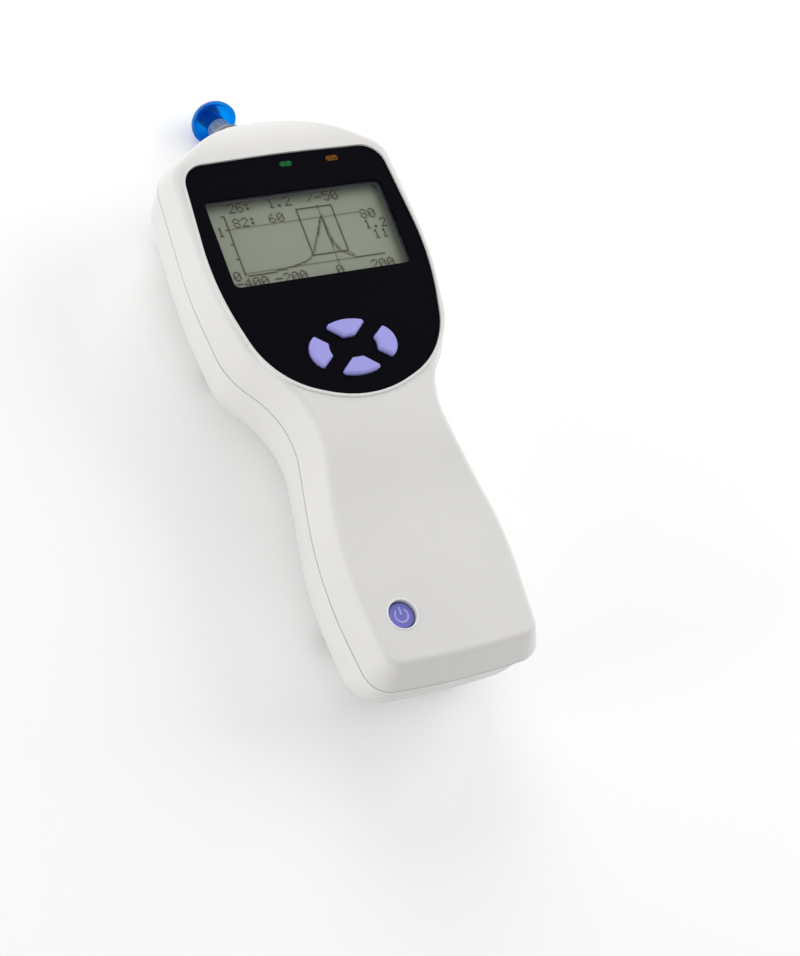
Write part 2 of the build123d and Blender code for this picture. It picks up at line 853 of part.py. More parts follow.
cylinder_plate = block(plate_x, (frame_high - pump_plate, frame_high), (pump_base_low, frame_top))
rod_hole = rod_diameter / 2 + turn_gap
cylinder_plate -= pump_axis * tube(rod_hole, 0, frame_high - pump_plate - 1, frame_high + 1)
frame += [motor_plate, cylinder_plate]
frame -= [post(x, y, 0, frame_top, pump_screw_diameter + 0.6) for x, y in pump_screw_places]
pieces["pump_frame"] = frame
pump_screw = Rot(180, 0, 0) * screw(
    pump_screw_head, pump_screw_head_height, pump_screw_diameter, pump_screw_length
)
pump_screw_top = pump_base_low + pump_base + pump_screw_head_height
pieces["pump_screws"] = Compound(
    [Pos(x, y, pump_screw_top) * pump_screw for x, y in pump_screw_places]
)
bore = bore_diameter / 2
flange = cylinder_flange_diameter / 2
cylinder = turned(
    [
        (bore, cylinder_low),
        (flange, cylinder_low),
        (flange, cylinder_low + 1.4),
        (cylinder_diameter / 2, cylinder_low + 1.4),
        (cylinder_diameter / 2, cylinder_high),
        (barb_radius, cylinder_high),
        (barb_radius, cylinder_high + barb_length),
        (barb_bore_radius, cylinder_high + barb_length),
        (barb_bore_radius, cylinder_high - cylinder_end),
        (bore, cylinder_high - cylinder_end),
    ]
)
pieces["pump_cylinder"] = pump_axis * cylinder
head = bore - turn_gap
thread = screw_diameter / 2 + turn_gap
groove_low = piston_low + (piston_length - seal_width) / 2
groove_high = groove_low + seal_width
piston = turned(
    [
        (thread, rod_low),
        (rod_diameter / 2, rod_low),
        (rod_diameter / 2, piston_low),
        (head, piston_low),
        (head, groove_low),
        (head - seal_depth, groove_low),
        (head - seal_depth, groove_high),
        (head, groove_high),
        (head, piston_low + piston_length),
        (0, piston_low + piston_length),
        (0, piston_low + piston_length / 2),
        (thread, piston_low + piston_length / 2),
    ]
)
pieces["pump_piston"] = pump_axis * piston
pieces["piston_seal"] = pump_axis * tube(
    bore - 0.03, head - seal_depth + 0.04, groove_low + 0.1, groove_high - 0.1
)

# Probe: body behind the washer, neck out through the boss, collar, clear nose cone and ear tip
shoulder = boss_end - 1.1
barb_end = probe_radius + barb_length + 0.5
probe = turned(
    [
        (duct_radius, barb_place - 1.5),
        (duct_radius, probe_low),
        (probe_radius, probe_low),
        (probe_radius, shoulder),
        (neck_radius, shoulder),
        (neck_radius, collar_low + 1.3),
        (duct_radius, collar_low + 1.3),
    ]
)
sideways = Pos(0, 0, barb_place) * Rot(0, -90, 0)
probe += sideways * post(0, 0, 0, barb_end, 2 * barb_radius)
probe -= sideways * post(0, 0, 0, barb_end + 1, 2 * barb_bore_radius)
half = transducer_width / 2
side = transducer_depth / 2
for x in (-transducer_x, transducer_x):
    cavity = (x - half - 0.15, x + half + 0.15), (-side - 0.15, side + 0.15)
    probe -= block(*cavity, (probe_low - 1, probe_low + receiver_length + 0.2))
pieces["probe_body"] = probe_axis * probe
for name, x, length in (
    ("receiver", transducer_x, receiver_length),
    ("microphone", -transducer_x, microphone_length),
):
    sensor = block((x - half, x + half), (-side, side), (probe_low, probe_low + length))
    pieces[name] = probe_axis * sensor
pieces["sealing_washer"] = probe_axis * tube(
    washer_radius, neck_radius + 0.1, boss_end - 1.05, boss_end - 0.05
)
collar = turned(
    [
        (neck_radius + 0.1, collar_low),
        (collar_radius, collar_low),
        (collar_radius - 2.1, collar_high),
        (nose_radius + turn_gap, collar_high),
        (nose_radius + turn_gap, collar_low + 1.5),
        (neck_radius + 0.1, collar_low + 1.5),
    ]
)
pieces["retaining_ring"] = probe_axis * collar
nose_low = collar_low + 1.6
rib_low = collar_high + 0.2
rib_high = tip_stem_low - 0.4
nose = turned(
    [
        (duct_radius, nose_low),
        (nose_radius, nose_low),
        (nose_radius, rib_low),
        (nose_radius + 0.3, rib_low),
        (nose_radius + 0.3, rib_high - 0.4),
        (rib_radius, rib_high - 0.4),
        (rib_radius, rib_high),
        (spigot_radius, rib_high),
        (spigot_radius, spigot_high),
        (duct_radius, spigot_high),
    ]
)
nose += [
    Rot(0, 0, 360 / rib_count * i)
    * block((nose_radius + 0.1, rib_radius), (-rib_width / 2, rib_width / 2), (rib_low, rib_high - 0.2))
    for i in range(rib_count)
]
pieces["nose_cone"] = probe_axis * nose
dome = []
under = []
for step in range(9):
    turn = radians(11 * step)
    dome.append((tip_radius * cos(turn), tip_dome * sin(turn)))
    under.append(((tip_radius - tip_skin) * cos(turn), (tip_dome - 1.2 * tip_skin) * sin(turn)))
stem_top = tip_stem_radius - 0.6
under = [p for p in under if p[0] > stem_top]
socket = spigot_radius + 0.06
tip_points = [(socket, tip_stem_low), (tip_stem_radius, tip_stem_low), (stem_top, under[-1][1])]
tip_points += under[::-1]
tip_points += [(tip_radius - 0.4, -0.3), (tip_radius, -0.1)]
tip_points += [p for p in dome if p[0] > tip_mouth]
tip_points += [(tip_mouth, tip_dome), (tip_mouth, spigot_high + 0.5), (socket, spigot_high + 0.5)]
pieces["ear_tip"] = probe_axis * turned(tip_points)

# Pressure tube from the cylinder's end to the side of the probe body
along = Vector(0, cos(lean), -sin(lean))
barb_at = Vector(0, rim_y, rim_height) + along * barb_place
start = Vector(pump_x, cylinder_high + 0.2, pump_height)
turn_in = Vector(pump_x, cylinder_high + barb_length, pump_height)
turn_out = Vector(-barb_end - 0.2, barb_at.Y, barb_at.Z)
finish = Vector(-probe_radius - 0.3, barb_at.Y, barb_at.Z)
path = Wire(
    [
        Edge.make_line(start, turn_in),
        Edge.make_spline([turn_in, turn_out], tangents=[Vector(0, 1, 0), Vector(1, 0, 0)]),
        Edge.make_line(turn_out, finish),
    ]
)
mouth = Plane(origin=start, z_dir=(0, 1, 0))
pieces["pressure_tube"] = sweep(mouth * Circle(tube_radius), path) - sweep(
    mouth * Circle(barb_radius + 0.05), path
)

# Move to the part's frame and write one file for each piece
overall_low = 0.0
overall_high = rim_y + tip_dome * cos(lean) + 2.0 * sin(lean)
middle = (overall_low + overall_high) / 2
os.makedirs("parts", exist_ok=True)
for name, piece in pieces.items():
    export_step(Pos(0, -middle, 0) * piece, f"parts/{name}.step")
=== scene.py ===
import math
import bmesh
import bpy
from mathutils import Matrix, Vector


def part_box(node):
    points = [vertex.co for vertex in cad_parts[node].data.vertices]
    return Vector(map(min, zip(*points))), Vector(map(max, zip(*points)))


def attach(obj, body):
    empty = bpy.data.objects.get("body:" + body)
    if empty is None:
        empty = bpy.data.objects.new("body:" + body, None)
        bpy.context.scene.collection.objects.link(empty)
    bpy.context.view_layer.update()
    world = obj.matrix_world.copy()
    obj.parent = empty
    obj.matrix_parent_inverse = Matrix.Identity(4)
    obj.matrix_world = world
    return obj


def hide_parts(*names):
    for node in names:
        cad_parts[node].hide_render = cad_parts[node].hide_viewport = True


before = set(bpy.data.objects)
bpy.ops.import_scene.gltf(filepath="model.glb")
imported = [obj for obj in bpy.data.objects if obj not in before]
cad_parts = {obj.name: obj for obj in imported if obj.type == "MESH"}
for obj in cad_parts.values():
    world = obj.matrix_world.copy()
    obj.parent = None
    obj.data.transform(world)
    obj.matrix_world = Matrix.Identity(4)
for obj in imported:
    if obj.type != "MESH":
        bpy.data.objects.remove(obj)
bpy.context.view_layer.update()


# Camera: stands where the photograph was taken from, in front of the handle, to its left and
# above. The picture is portrait, so the lens is for its height, the long side of the film.
camera_spot = (-0.32856, -0.259865, 0.62684)
across = (0.868545, -0.341867, 0.358827)
upward = (0.175043, 0.888948, 0.423239)
toward = (-0.463670, -0.304792, 0.831933)
focal_pixels, picture_height, film_side = 2429.73, 956, 36
camera = bpy.data.objects.new("camera", bpy.data.cameras.new("camera"))
stand = Matrix((across, upward, toward)).transposed().to_4x4()
stand.translation = camera_spot
camera.matrix_world = stand
camera.data.sensor_fit = "AUTO"
camera.data.sensor_width = film_side
camera.data.lens = focal_pixels * film_side / picture_height
bpy.context.scene.collection.objects.link(camera)
bpy.context.scene.camera = camera
bpy.context.scene.view_settings.view_transform = "Standard"


# Studio: a floor of matt white paper in a white room, and soft light from four panels: from
# the right so that the rolled edges stand out, low on the left for the side wall, one behind
# and a weak one in front.
def new_piece(name, shape):
    """Object from a bmesh, added to the scene."""
    data = bpy.data.meshes.new(name)
    shape.to_mesh(data)
    shape.free()
    piece = bpy.data.objects.new(name, data)
    bpy.context.scene.collection.objects.link(piece)
    return piece


def shader_node(tree, kind, sockets=None, **settings):
    """Node of a kind, with values on its sockets and settings such as its operation."""
    made = tree.nodes.new("ShaderNode" + kind)
    for name, value in settings.items():
        setattr(made, name, value)
    for name, value in (sockets or {}).items():
        made.inputs[name].default_value = value
    return made


def seen_directly(tree, low, high):
    """Strength for light paths: high as seen by eye, in gloss or through clear parts, or low."""
    rays = shader_node(tree, "LightPath")
    last = rays.outputs["Is Camera Ray"]
    for kind in ("Is Glossy Ray", "Is Transmission Ray"):
        either = shader_node(tree, "Math", operation="MAXIMUM")
        tree.links.new(last, either.inputs[0])
        tree.links.new(rays.outputs[kind], either.inputs[1])
        last = either.outputs["Value"]
    span = shader_node(tree, "MapRange", {"To Min": low, "To Max": high})
    tree.links.new(last, span.inputs["Value"])
    return span.outputs["Result"]


floor_half, floor_drop = 3.0, 0.0002
floor_shape = bmesh.new()
bmesh.ops.create_grid(floor_shape, x_segments=8, y_segments=8, size=floor_half)
floor = new_piece("floor", floor_shape)
floor.location.z = -floor_drop
floor_look = bpy.data.materials.new("floor_paper")
floor_look.use_nodes = True
tree = floor_look.node_tree
paper = tree.nodes["Principled BSDF"]
paper.inputs["Base Color"].default_value = (0.94, 0.94, 0.94, 1)
paper.inputs["Roughness"].default_value = 0.9
paper.inputs["Specular IOR Level"].default_value = 0.1
paper.inputs["Emission Color"].default_value = (1, 1, 1, 1)
# Its own whiteness grows away from the object, where the panels light it less.
place = shader_node(tree, "TexCoord")
distance = shader_node(tree, "VectorMath", operation="LENGTH")
tree.links.new(place.outputs["Object"], distance.inputs[0])
away = shader_node(
    tree, "MapRange", {"From Min": 0.35, "From Max": 1.10, "To Min": 0.12, "To Max": 0.50},
    interpolation_type="SMOOTHSTEP",
)
tree.links.new(distance.outputs["Value"], away.inputs["Value"])
glow = shader_node(tree, "Math", operation="MULTIPLY")
tree.links.new(seen_directly(tree, 0.0, 1.0), glow.inputs[0])
tree.links.new(away.outputs["Result"], glow.inputs[1])
tree.links.new(glow.outputs["Value"], paper.inputs["Emission Strength"])
floor.data.materials.append(floor_look)

world = bpy.data.worlds.new("studio")
bpy.context.scene.world = world
world.use_nodes = True
tree = world.node_tree
room = tree.nodes["Background"]
room.inputs["Color"].default_value = (1, 1, 1, 1)
room_light, room_white = 0.50, 1.0
tree.links.new(seen_directly(tree, room_light, room_white), room.inputs["Strength"])

# Gloss and glass show the white room and not the panels themselves, so no face clips to white.
for name, spot, aim, width, power in (
    ("right_panel", (0.85, 0.12, 0.50), (0, 0, 0.02), 0.80, 4.6),
    ("left_panel", (-0.95, 0.02, 0.19), (0, 0, 0.02), 0.34, 3.7),
    ("back_panel", (0.15, 0.86, 0.48), (0, 0.06, 0.02), 0.60, 3.9),
    ("front_panel", (-0.10, -0.95, 0.32), (0, 0, 0.02), 0.50, 0.5),
):
    lamp = bpy.data.lights.new(name, "AREA")
    lamp.shape = "SQUARE"
    lamp.size = width
    lamp.energy = power
    holder = bpy.data.objects.new(name, lamp)
    holder.location = spot
    way = Vector(aim) - Vector(spot)
    holder.rotation_euler = way.to_track_quat("-Z", "Y").to_euler()
    holder.visible_glossy = False
    bpy.context.scene.collection.objects.link(holder)


# Housing: two moulded ABS covers and the battery door, warm off-white, with the fine satin
# grain of a textured mould. They meet in a shadow line and are held by screws from the back.
def moulded(
    name, colour, roughness, grain=2600.0, depth=0.00002, patch=0.02, spread=35.0, soft=0.0,
    specular=0.5,
):
    """Moulded plastic: faint patches in the colour, uneven gloss and a fine bumpy grain."""
    look = bpy.data.materials.new(name)
    look.use_nodes = True
    tree = look.node_tree
    shader = tree.nodes["Principled BSDF"]
    shader.inputs["Specular IOR Level"].default_value = specular
    place = shader_node(tree, "TexCoord")
    cloud = shader_node(tree, "TexNoise", {"Scale": spread, "Detail": 3})
    tree.links.new(place.outputs["Object"], cloud.inputs["Vector"])
    tint = shader_node(tree, "ValToRGB")
    for stop, position, change in zip(tint.color_ramp.elements, (0.3, 0.7), (-patch, patch)):
        stop.position = position
        stop.color = (*[min(1, part * (1 + change)) for part in colour], 1)
    tree.links.new(cloud.outputs["Fac"], tint.inputs["Fac"])
    tree.links.new(tint.outputs["Color"], shader.inputs["Base Color"])
    fine = shader_node(tree, "TexNoise", {"Scale": grain, "Detail": 2})
    tree.links.new(place.outputs["Object"], fine.inputs["Vector"])
    gloss = shader_node(
        tree, "MapRange", {"To Min": roughness - 0.05, "To Max": roughness + 0.07}
    )
    tree.links.new(fine.outputs["Fac"], gloss.inputs["Value"])
    tree.links.new(gloss.outputs["Result"], shader.inputs["Roughness"])
    bump = shader_node(tree, "Bump", {"Strength": 0.35, "Distance": depth})
    tree.links.new(fine.outputs["Fac"], bump.inputs["Height"])
    tree.links.new(bump.outputs["Normal"], shader.inputs["Normal"])
    if soft:
        shader.inputs["Subsurface Weight"].default_value = soft
        shader.inputs["Subsurface Radius"].default_value = (1.0, 0.8, 0.7)
        shader.inputs["Subsurface Scale"].default_value = 0.0012
    return look


def dress(look, *names):
    """Give CAD nodes a finish."""
    for name in names:
        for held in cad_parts[name].material_slots:
            held.material = look


shell_look = moulded("shell_satin", (0.745, 0.735, 0.718), 0.36)
dress(shell_look, "front_cover", "rear_cover", "battery_door")


# Panel: a black film printed from behind on a thin carrier, glued into the sunk face inside a
# fine raised rim. It is nearly without gloss.
panel_black = (0.0030, 0.0029, 0.0050)
panel_look = moulded(
    "panel_film", panel_black, 0.42, grain=3400.0, depth=0.000006, specular=0.02
)
dress(panel_look, "control_panel")


# Display window: a clear acrylic lens, glued behind the panel's opening. Its gloss is faint and
# grows at a low angle.
lens_look = bpy.data.materials.new("clear_lens")
lens_look.use_nodes = True
tree = lens_look.node_tree
tree.nodes.remove(tree.nodes["Principled BSDF"])
through = shader_node(tree, "BsdfTransparent", {"Color": (0.97, 0.98, 0.97, 1)})
shine = shader_node(tree, "BsdfGlossy", {"Roughness": 0.06})
edge = shader_node(tree, "LayerWeight")
grazing = shader_node(tree, "Math", {1: 4}, operation="POWER")
tree.links.new(edge.outputs["Facing"], grazing.inputs[0])
share = shader_node(tree, "MapRange", {"To Min": 0.004, "To Max": 0.30})
tree.links.new(grazing.outputs["Value"], share.inputs["Value"])
blend = shader_node(tree, "MixShader")
tree.links.new(share.outputs["Result"], blend.inputs["Fac"])
tree.links.new(through.outputs["BSDF"], blend.inputs[1])
tree.links.new(shine.outputs["BSDF"], blend.inputs[2])
tree.links.new(blend.outputs["Shader"], tree.nodes["Material Output"].inputs["Surface"])
dress(lens_look, "display_window")


# Display bezel: a dark moulded frame that stands on the board and holds the display glass, close
# under the window. Its bevelled opening reaches nearly to the window's edges, and its sizes are
# measured from the window's middle.
window_low, window_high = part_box("display_window")
bezel_low, bezel_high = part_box("lcd_bezel")
middle_y = (window_low.y + window_high.y) / 2
glass_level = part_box("lcd_glass")[1].z
bezel_half = (bezel_high.x, (bezel_high.y - bezel_low.y) / 2)
bezel_corner, bevel = 0.0015, 0.0002
opening_left, opening_right, opening_low, opening_high = -0.0289, 0.0297, -0.0142, 0.0147
opening_corner = 0.0012
glass_half, glass_corner = (0.0311, 0.0161), 0.0004
corner_steps = 6


def oblong(shape, left, right, low, high, corner, level):
    """Points of a rounded oblong, from its right side round."""
    loop = []
    for x, y, first in (
        (right - corner, high - corner, 0), (left + corner, high - corner, 90),
        (left + corner, low + corner, 180), (right - corner, low + corner, 270),
    ):
        for step in range(corner_steps + 1):
            turn = math.radians(first + 90 * step / corner_steps)
            spot = (x + corner * math.cos(turn), middle_y + y + corner * math.sin(turn), level)
            loop.append(shape.verts.new(spot))
    return loop


rim = bmesh.new()
loops = []
for inset, level in ((0, bezel_low.z), (0, bezel_high.z - bevel), (bevel, bezel_high.z)):
    x, y = bezel_half[0] - inset, bezel_half[1] - inset
    loops.append(oblong(rim, -x, x, -y, y, bezel_corner, level))
for inset, level in ((bevel, bezel_high.z), (0, bezel_high.z - bevel), (0, glass_level)):
    loops.append(oblong(
        rim, opening_left - inset, opening_right + inset, opening_low - inset,
        opening_high + inset, opening_corner, level,
    ))
for level in (glass_level, bezel_low.z):
    x, y = glass_half
    loops.append(oblong(rim, -x, x, -y, y, glass_corner, level))
for inner, outer in zip(loops, loops[1:] + loops[:1]):
    for k in range(len(inner)):
        after = (k + 1) % len(inner)
        rim.faces.new((inner[k], inner[after], outer[after], outer[k]))
bmesh.ops.recalc_face_normals(rim, faces=rim.faces)
bezel = new_piece("display_bezel", rim)
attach(bezel, "housing")
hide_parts("lcd_bezel")
bezel.data.materials.append(moulded("bezel_grey", (0.085, 0.088, 0.110), 0.5, depth=0.00001))


# Display glass: a grey-green liquid crystal cell with its back light under it, both on the
# board. A painted shadow darkens its colour towards its top and right, where the window's
# edges shade it.
glass_look = moulded(
    "liquid_crystal", (0.312, 0.334, 0.270), 0.38, grain=2200.0, depth=0.000002, specular=0.15
)
tree = glass_look.node_tree
shader = tree.nodes["Principled BSDF"]
place = shader_node(tree, "TexCoord")
parts = shader_node(tree, "SeparateXYZ")
tree.links.new(place.outputs["Object"], parts.inputs["Vector"])
colour_now = shader.inputs["Base Color"].links[0].from_socket
# Painted shadow: the colour is scaled down towards the top and right of the glass.
for axis, clear_until, dark_from, darkest in (
    ("Y", middle_y + 0.0105, middle_y + 0.0160, 0.30), ("X", 0.0262, 0.0300, 0.50),
):
    edge_shadow = shader_node(
        tree, "MapRange",
        {"From Min": clear_until, "From Max": dark_from, "To Min": 1.0, "To Max": darkest},
        interpolation_type="SMOOTHSTEP",
    )
    tree.links.new(parts.outputs[axis], edge_shadow.inputs["Value"])
    shade = shader_node(tree, "VectorMath", operation="SCALE")
    tree.links.new(colour_now, shade.inputs[0])
    tree.links.new(edge_shadow.outputs["Result"], shade.inputs["Scale"])
    colour_now = shade.outputs["Vector"]
tree.links.new(colour_now, shader.inputs["Base Color"])
dress(glass_look, "lcd_glass", "lcd_backlight")


# Picture on the display: an ear pressure graph with plain numbers, in the square dots of the
# display's own grid. A dark dot floats just over the glass, and a painted shadow of it, a paler
# sheet of dots, lies beside it.
dot = 0.00046
dot_share = 0.92
digit_step, digit_middle = 6, 3
digits = {
    "0": "01110 10001 10011 10101 11001 10001 01110",
    "1": "00100 01100 00100 00100 00100 00100 01110",
    "2": "01110 10001 00001 00010 00100 01000 11111",
    "4": "00010 00110 01010 10010 11111 00010 00010",
    "5": "11111 10000 11110 00001 00001 10001 01110",
    "6": "00110 01000 10000 11110 10001 10001 01110",
    "8": "01110 10001 10001 01110 10001 10001 01110",
    ".": "00000 00000 00000 00000 00000 01100 01100",
    "-": "00000 00000 00000 11111 00000 00000 00000",
    ":": "00000 01100 01100 00000 01100 01100 00000",
    "/": "00000 00001 00010 00100 01000 10000 00000",
}
dots = set()


def cell_of(x, y):
    """Column and row of the dot at a place in millimetres from the window's middle."""
    return round(x / 1000 / dot), round(y / 1000 / dot)


def write(text, x, y):
    """Numbers from their left end and middle height."""
    column, row = cell_of(x, y)
    for letter in text:
        for down, line in enumerate(digits[letter].split()):
            for right, mark in enumerate(line):
                if mark == "1":
                    dots.add((column + right, row + digit_middle - down))
        column += digit_step


def stroke(x1, y1, x2, y2, every=1):
    """Line of dots, or of every second one."""
    c1, r1 = cell_of(x1, y1)
    c2, r2 = cell_of(x2, y2)
    steps = max(abs(c2 - c1), abs(r2 - r1), 1)
    for i in range(0, steps + 1, every):
        dots.add((c1 + round((c2 - c1) * i / steps), r1 + round((r2 - r1) * i / steps)))


scale_x, scale_top, full_height, base_height = -23.7, 10.4, 5.8, -9.2
stroke(scale_x, -9.7, scale_x, scale_top)
for tick in (-4.2, 0.8, full_height, scale_top):
    stroke(scale_x - 1.1, tick, scale_x, tick)
stroke(-23.3, full_height, 20.4, full_height, 2)
stroke(-23.5, base_height, 14.0, base_height, 2)
stroke(13.5, base_height, 23.6, base_height)
stroke(7.4, -11.9, 7.4, 10.6, 2)

norm_left, norm_right, norm_low, norm_high = 0, 12, -6.5, 9.6
for height in (norm_low, norm_high):
    stroke(norm_left, height, norm_right, height)
for side in (norm_left, norm_right):
    stroke(side, norm_low, side, norm_high)

curve = (
    (-23.2, -10.3), (-15.0, -10.3), (-8.2, -9.0), (-3.5, -8.3), (-1.2, -7.2), (0.5, -5.5),
    (2.4, -2.4), (3.9, 0.2), (5.2, 2.4), (6.6, 5.0), (7.3, 6.6), (7.4, 1.3), (7.8, -3.1),
    (9.3, -6.0), (11.0, -7.4), (13.5, -8.8),
)
twin_shift = 0.5
for (x1, y1), (x2, y2) in zip(curve, curve[1:]):
    stroke(x1, y1, x2, y2)
    steep = abs(y2 - y1) > abs(x2 - x1) * 0.5
    if steep:
        stroke(x1 + twin_shift, y1 + twin_shift, x2 + twin_shift, y2 + twin_shift, 2)

for text, x, y in (
    ("26:", -21.4, 12.9), ("1.2", -8.3, 12.9), ("/-50", 5.2, 12.9), ("82:", -21.4, 8.0),
    ("60", -9.8, 8.0), ("80", 20.8, 5.0), ("1.2", 20.8, 1.4), ("11", 22.6, -2.2),
    ("1", -27.4, 5.6), ("0", -27.4, -9.8), ("-400", -27.4, -12.6), ("-200", -14.6, -12.6),
    ("0", 6.2, -12.6), ("200", 18.0, -12.6),
):
    write(text, x, y)

# The second sheet is a painted shadow: paler dots set off beside the dark ones.
for name, lift, shift, colour in (
    ("graph_dots", 0.00005, 0.0, (0.055, 0.034, 0.024)),
    ("graph_shadow", 0.00002, 0.00035, (0.205, 0.220, 0.178)),
):
    grid = bmesh.new()
    half = dot * dot_share / 2
    for column, row in sorted(dots):
        x = column * dot + shift
        y = middle_y + row * dot - shift
        grid.faces.new([
            grid.verts.new((x + right * half, y + up * half, glass_level + lift))
            for right, up in ((-1, -1), (1, -1), (1, 1), (-1, 1))
        ])
    marks = new_piece(name, grid)
    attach(marks, "housing")
    marks.data.materials.append(moulded(name + "_ink", colour, 0.5, patch=0.15))


# Keys: four arrow keys of pale violet silicone, matt and slightly translucent. Each stands out
# of its own hole in the panel, held from behind by a flange.
key_look = moulded("key_silicone", (0.366, 0.352, 0.80), 0.33, grain=1800.0, soft=0.12)
dress(key_look, "key_up", "key_down", "key_left", "key_right")


# Power button: a darker violet silicone cap sunk in its well, with the raised open ring and
# bar that such buttons carry, printed lighter.
power_look = moulded("power_silicone", (0.175, 0.172, 0.56), 0.40, grain=1800.0, soft=0.15)
dress(power_look, "power_button")
button_low, button_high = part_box("power_button")
centre = Vector((
    (button_low.x + button_high.x) / 2, (button_low.y + button_high.y) / 2, button_high.z
))
ring_radius, ring_width, raised, slope = 0.00205, 0.00078, 0.00015, 0.00008
ring_gap, ring_steps = 76, 44
symbol = bmesh.new()
rows = []
for i in range(ring_steps + 1):
    turn = math.radians(90 + ring_gap / 2 + (360 - ring_gap) * i / ring_steps)
    row = []
    for radius, level in (
        (ring_radius + ring_width / 2, 0.0),
        (ring_radius + ring_width / 2 - slope, raised),
        (ring_radius - ring_width / 2 + slope, raised),
        (ring_radius - ring_width / 2, 0.0),
    ):
        spot = centre + Vector((radius * math.cos(turn), radius * math.sin(turn), level))
        row.append(symbol.verts.new(spot))
    rows.append(row)
for a, b in zip(rows, rows[1:]):
    for k in range(3):
        symbol.faces.new((a[k], b[k], b[k + 1], a[k + 1]))
for end in (rows[0], rows[-1][::-1]):
    symbol.faces.new(end)
bar_half, bar_low, bar_high, bar_slope = 0.00043, 0.0001, 0.0027, 0.0001
bar = []
for side_inset, end_inset, level in ((0, 0, 0), (slope, bar_slope, raised)):
    x, low, high = bar_half - side_inset, bar_low + end_inset, bar_high - end_inset
    for corner in ((-x, low), (x, low), (x, high), (-x, high)):
        bar.append(symbol.verts.new(centre + Vector((*corner, level))))
symbol.faces.new(bar[4:8])
for k in range(4):
    symbol.faces.new((bar[k], bar[(k + 1) % 4], bar[4 + (k + 1) % 4], bar[4 + k]))
bmesh.ops.recalc_face_normals(symbol, faces=symbol.faces)
mark = new_piece("power_symbol", symbol)
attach(mark, "power_button")
mark.data.materials.append(moulded("power_symbol_ink", (0.36, 0.36, 0.80), 0.45))


# Well lip: the rounded moulded edge round the power button's well, a fine ring of the same ABS
# as the cover, coloured lighter than the cover as a painted highlight along the edge.
well_radius, lip_width, lip_height, lip_sunk = 0.00435, 0.00055, 0.00022, 0.00002
button_depth = 0.001
lip_steps, lip_points = 72, 7
face_level = button_high.z + button_depth
lip = bmesh.new()
rows = []
for i in range(lip_steps):
    turn = math.tau * i / lip_steps
    row = []
    for point in range(lip_points):
        swell = math.pi * point / (lip_points - 1)
        radius = well_radius + lip_width / 2 - lip_width / 2 * math.cos(swell)
        level = face_level - lip_sunk + (lip_height + lip_sunk) * math.sin(swell)
        spot = (centre.x + radius * math.cos(turn), centre.y + radius * math.sin(turn), level)
        row.append(lip.verts.new(spot))
    rows.append(row)
for a, b in zip(rows, rows[1:] + rows[:1]):
    for k in range(lip_points):
        after = (k + 1) % lip_points
        lip.faces.new((a[k], b[k], b[after], a[after]))
bmesh.ops.recalc_face_normals(lip, faces=lip.faces)
ring = new_piece("well_lip", lip)
for side in ring.data.polygons:
    side.use_smooth = True
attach(ring, "housing")
# Painted highlight: a lighter colour than the cover's, for the light the lip catches.
ring.data.materials.append(moulded("well_lip_highlight", (0.86, 0.85, 0.84), 0.20))


# Lamps: clear tinted light bars, one green and one amber, that stand on the board and end flush
# with the panel. They are unlit and mottled like cut glass.
for name, colour in (
    ("green_light", (0.004, 0.105, 0.026)), ("amber_light", (0.135, 0.050, 0.001)),
):
    lamp_look = moulded(
        name + "_resin", colour, 0.16, grain=1500.0, depth=0.00012, patch=0.7, spread=1100.0,
        specular=0.12,
    )
    dress(lamp_look, name)


# Ear tip: a thin-skirted mushroom of clear blue silicone, pushed on the nose cone's spigot.
# Light comes through the thin skirt, while the thick stem on the probe's axis stays dark.
tip_look = moulded("blue_silicone", (0.002, 0.045, 0.26), 0.20, grain=500.0, depth=0.00001)
tree = tip_look.node_tree
shader = tree.nodes["Principled BSDF"]
shader.inputs["IOR"].default_value = 1.41
through = shader_node(tree, "BsdfTransparent", {"Color": (0.003, 0.58, 0.98, 1)})
scatter = shader_node(tree, "BsdfTranslucent", {"Color": (0.0, 0.34, 0.95, 1)})
inner = shader_node(tree, "MixShader", {"Fac": 0.12})
tree.links.new(through.outputs["BSDF"], inner.inputs[1])
tree.links.new(scatter.outputs["BSDF"], inner.inputs[2])
edge = shader_node(tree, "LayerWeight", {"Blend": 0.20})
probe_spot, probe_way = (0.0, 0.098158, 0.0071), (0.0, 0.906308, -0.422618)
stem_radius, skirt_from = 0.0036, 0.0041
place = shader_node(tree, "TexCoord")
away = shader_node(tree, "VectorMath", {1: probe_spot}, operation="SUBTRACT")
tree.links.new(place.outputs["Object"], away.inputs[0])
across_axis = shader_node(tree, "VectorMath", {1: probe_way}, operation="CROSS_PRODUCT")
tree.links.new(away.outputs["Vector"], across_axis.inputs[0])
distance = shader_node(tree, "VectorMath", operation="LENGTH")
tree.links.new(across_axis.outputs["Vector"], distance.inputs[0])
stem = shader_node(
    tree, "MapRange",
    {"From Min": stem_radius, "From Max": skirt_from, "To Min": 0.72, "To Max": 0.0},
)
tree.links.new(distance.outputs["Value"], stem.inputs["Value"])
thicker = shader_node(tree, "Math", operation="MAXIMUM")
tree.links.new(edge.outputs["Facing"], thicker.inputs[0])
tree.links.new(stem.outputs["Result"], thicker.inputs[1])
outer = shader_node(tree, "MixShader")
tree.links.new(thicker.outputs["Value"], outer.inputs["Fac"])
tree.links.new(inner.outputs["Shader"], outer.inputs[1])
tree.links.new(shader.outputs["BSDF"], outer.inputs[2])
tree.links.new(outer.outputs["Shader"], tree.nodes["Material Output"].inputs["Surface"])
dress(tip_look, "ear_tip")


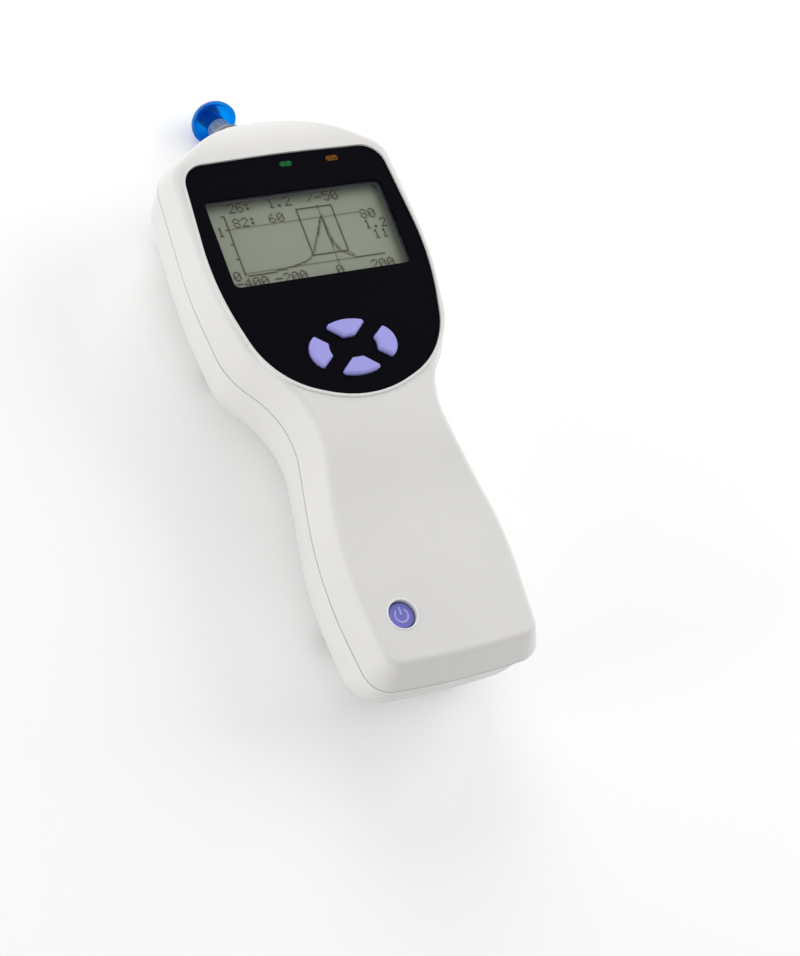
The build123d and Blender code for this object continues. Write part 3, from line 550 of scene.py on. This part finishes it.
# Nose cone: a clear ribbed moulding that carries the ear tip and screws on the probe's neck
# for cleaning, with polished flats that catch the white room.
nose_look = moulded("clear_moulding", (0.50, 0.66, 0.95), 0.10, grain=900.0, depth=0.00001)
tree = nose_look.node_tree
clear = shader_node(tree, "BsdfTransparent", {"Color": (0.86, 0.94, 1.0, 1)})
body = shader_node(tree, "MixShader", {"Fac": 0.27})
tree.links.new(clear.outputs["BSDF"], body.inputs[1])
tree.links.new(tree.nodes["Principled BSDF"].outputs["BSDF"], body.inputs[2])
place = shader_node(tree, "TexCoord")
streak = shader_node(tree, "TexNoise", {"Scale": 900})
tree.links.new(place.outputs["Object"], streak.inputs["Vector"])
polish = shader_node(tree, "MapRange", {"To Min": 0.05, "To Max": 0.20})
tree.links.new(streak.outputs["Fac"], polish.inputs["Value"])
gloss = shader_node(tree, "BsdfGlossy", {"Color": (0.92, 0.96, 1.0, 1)})
tree.links.new(polish.outputs["Result"], gloss.inputs["Roughness"])
edge = shader_node(tree, "LayerWeight", {"Blend": 0.30})
blend = shader_node(tree, "MixShader")
tree.links.new(edge.outputs["Fresnel"], blend.inputs["Fac"])
tree.links.new(body.outputs["Shader"], blend.inputs[1])
tree.links.new(gloss.outputs["BSDF"], blend.inputs[2])
tree.links.new(blend.outputs["Shader"], tree.nodes["Material Output"].inputs["Surface"])
dress(nose_look, "nose_cone")


# Collar: the grey ring of hard plastic that holds the probe in the rear cover's tilted boss,
# turned tight from outside.
dress(moulded("collar_grey", (0.285, 0.275, 0.30), 0.38), "retaining_ring")


# Metal pieces inside: plated steel screws, springs, pump frame, motor can and lead screw, and
# nickel strips that join the cells.
def plated(name, colour, roughness):
    """Plated or turned metal with fine tool marks."""
    look = moulded(name, colour, roughness, grain=900.0, depth=0.00001)
    look.node_tree.nodes["Principled BSDF"].inputs["Metallic"].default_value = 1.0
    return look


dress(
    plated("plated_steel", (0.56, 0.56, 0.58), 0.34), "case_screws", "board_screws",
    "pump_screws", "contact_springs", "pump_motor", "lead_screw", "pump_frame",
)
dress(plated("nickel_strip", (0.66, 0.65, 0.62), 0.28), "contact_plates")


# Board and what is soldered on it, the probe's earphone and microphone, and the cells: green
# solder resist, black moulded resin, and plain dark jackets without print.
dress(moulded("solder_resist", (0.015, 0.12, 0.035), 0.35, grain=600.0), "main_board")
dress(
    moulded("chip_resin", (0.02, 0.02, 0.022), 0.55), "board_chips", "buzzer", "key_switches",
    "power_switch", "receiver", "microphone",
)
dress(moulded("cell_jacket", (0.06, 0.065, 0.08), 0.3), "cell_1", "cell_2", "cell_3", "cell_4")


# Pump and probe inside: mouldings of white acetal, joined by a black rubber tube. The piston's
# seal and the probe's washer are of the same rubber.
dress(
    moulded("white_acetal", (0.62, 0.62, 0.60), 0.4), "pump_piston", "pump_cylinder",
    "probe_body",
)
dress(
    moulded("soft_rubber", (0.02, 0.02, 0.022), 0.6), "piston_seal", "sealing_washer",
    "pressure_tube",
)
